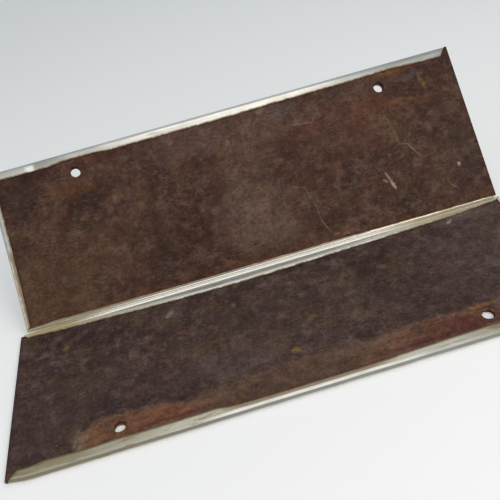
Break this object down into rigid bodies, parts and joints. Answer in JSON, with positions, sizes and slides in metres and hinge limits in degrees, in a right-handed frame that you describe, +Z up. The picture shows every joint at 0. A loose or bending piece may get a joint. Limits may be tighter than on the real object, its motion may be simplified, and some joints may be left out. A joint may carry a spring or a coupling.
{
  "type": "hemmed door plate pair",
  "caption": "Pair of long sheet-metal door plates with bright folded edges, a brown oxidised back and corner-side screw holes; the rear plate tilts on the front one's hem.",
  "frame": {"origin": "centre of the lower plate's bright face, which lies flat on the table", "axes": "+X along the plates' long edges, +Y from the lower plate towards the leaning one, +Z up"},
  "size_m": [0.4614, 0.2569, 0.1146],
  "materials": {
    "bright_face": "worn bright plating, tarnished towards the ends",
    "oxidised_backing": "brown oxide with rust stains, matt"
  },
  "bodies": {
    "lower_plate": {"lower_face_sheet": "bright_face", "lower_backing_sheet": "oxidised_backing"},
    "upper_plate": {"upper_face_sheet": "bright_face", "upper_backing_sheet": "oxidised_backing"}
  },
  "joints": [
    {"name": "upper_plate_tilt", "type": "hinge", "parent": "lower_plate", "child": "upper_plate", "pos_m": [0.00165, 0.0742, 0.0063], "axis": [1, 0, 0], "range_deg": [-47, 134]}
  ]
}
